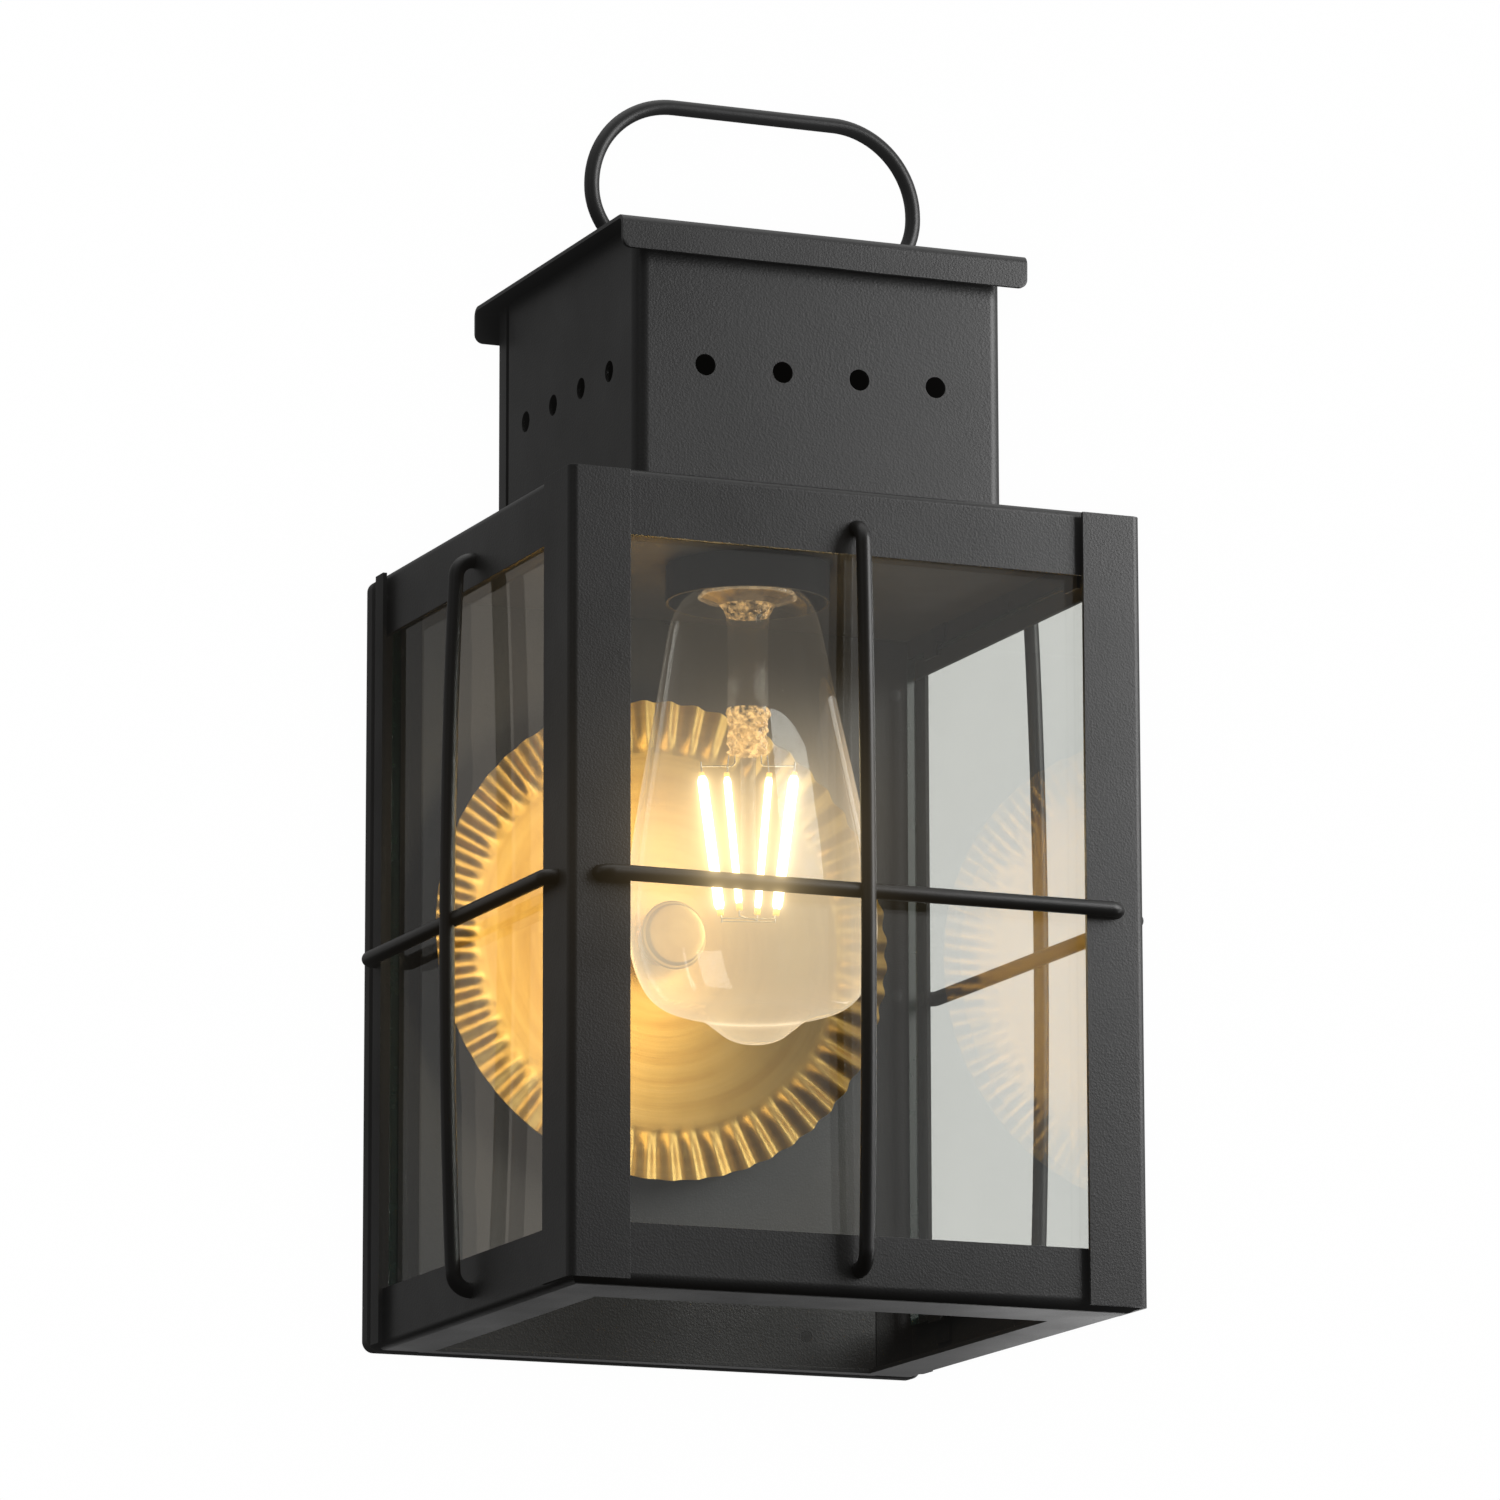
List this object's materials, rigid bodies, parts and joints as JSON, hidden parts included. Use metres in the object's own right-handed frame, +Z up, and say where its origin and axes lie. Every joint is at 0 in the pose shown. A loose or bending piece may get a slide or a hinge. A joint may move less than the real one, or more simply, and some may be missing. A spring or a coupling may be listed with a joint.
{
  "type": "lantern wall sconce",
  "caption": "Black steel lantern wall light with glass panes, wire guards, vented chimney, bail handle, crimped brass reflector and one screw-base bulb.",
  "frame": {"origin": "on the wall plane, at the middle of the wall strap's slot row", "axes": "+Y into the wall, +Z up, +X to the right when facing the lamp's front"},
  "size_m": [0.1712, 0.1536, 0.325],
  "materials": {
    "black_steel": "matt black powder coat with a fine leather-like grain",
    "pane_glass": "clear, polished flat sheet",
    "crimped_brass": "brushed in circles, satin",
    "turned_brass": "fine turned, satin",
    "zinc_steel": "bright zinc plate",
    "green_screw": "green dyed zinc plate",
    "phenolic": "moulded, satin",
    "lampholder_brass": "pressed, bright",
    "lead_black": "silicone-covered wire",
    "lead_white": "silicone-covered wire",
    "rubber": "moulded",
    "bulb_nickel": "nickel-plated, bright",
    "black_glass": "fused black glass",
    "solder": "soldered button",
    "bulb_glass": "clear with a faint amber tint",
    "stem_glass": "clear",
    "filament_phosphor": "phosphor-coated strip, lit",
    "nickel_wire": "bright wire",
    "circuit_board": "printed board"
  },
  "bodies": {
    "body": {"roof_tray": "black_steel", "ceiling_plate": "black_steel", "bottom_frame": "black_steel", "post_front_left": "black_steel", "post_front_right": "black_steel", "post_rear_left": "black_steel", "post_rear_right": "black_steel", "back_pan": "black_steel", "body_rivets": "zinc_steel", "chimney_shell": "black_steel", "chimney_back": "black_steel", "chimney_rivets": "black_steel", "chimney_screws": "zinc_steel", "cap": "black_steel", "cap_rivets": "black_steel", "handle_saddles": "black_steel", "saddle_rivets": "black_steel", "glass_front": "pane_glass", "glass_left": "pane_glass", "glass_right": "pane_glass", "glass_clips": "black_steel", "guard_front_upright": "black_steel", "guard_front_cross": "black_steel", "guard_left_upright": "black_steel", "guard_left_cross": "black_steel", "guard_right_upright": "black_steel", "guard_right_cross": "black_steel", "reflector": "crimped_brass", "reflector_stud": "zinc_steel", "reflector_spacer": "turned_brass", "lamp_cup": "black_steel", "lampholder_body": "phenolic", "lampholder_shell": "lampholder_brass", "lampholder_contact": "lampholder_brass", "lampholder_screws": "zinc_steel", "holder_nipple": "zinc_steel", "holder_locknut": "zinc_steel", "lead_live": "lead_black", "lead_neutral": "lead_white", "lead_bushings": "rubber", "wall_strap": "zinc_steel", "strap_studs": "zinc_steel", "stud_washers": "zinc_steel", "stud_nuts": "zinc_steel", "earth_screw": "green_screw"},
    "handle": {"handle": "black_steel"},
    "bulb_carrier": {"bulb_tip": "solder"},
    "bulb": {"bulb_cap": "bulb_nickel", "bulb_insulator": "black_glass", "bulb_glass": "bulb_glass", "bulb_stem": "stem_glass", "bulb_filaments": "filament_phosphor", "bulb_wires": "nickel_wire", "bulb_driver": "circuit_board"},
    "nut_carrier": {"reflector_washer": "turned_brass"},
    "nut": {"reflector_nut": "turned_brass"}
  },
  "joints": [
    {"name": "handle_fold", "type": "hinge", "parent": "body", "child": "handle", "pos_m": [0, -0.078, 0.1689], "axis": [1, 0, 0], "range_deg": [-90, 90]},
    {"name": "bulb_draw", "type": "slide", "parent": "body", "child": "bulb_carrier", "axis": [0, 0, -1], "range_m": [0, 0.01816]},
    {"name": "bulb_turn", "type": "hinge", "parent": "bulb_carrier", "child": "bulb", "pos_m": [0, -0.0735, 0], "axis": [0, 0, -1], "range_deg": [0, 1800]},
    {"name": "nut_draw", "type": "slide", "parent": "body", "child": "nut_carrier", "axis": [0, -1, 0], "range_m": [0, 0.0064]},
    {"name": "nut_turn", "type": "hinge", "parent": "nut_carrier", "child": "nut", "pos_m": [0, -0.02, 0], "axis": [0, -1, 0], "range_deg": [0, 2880.1]}
  ],
  "couplings": [
    {"joint": "bulb_draw", "follows": "bulb_turn", "m_per_rad": 0.00057773},
    {"joint": "nut_turn", "follows": "nut_draw", "rad_per_m": 7854}
  ]
}
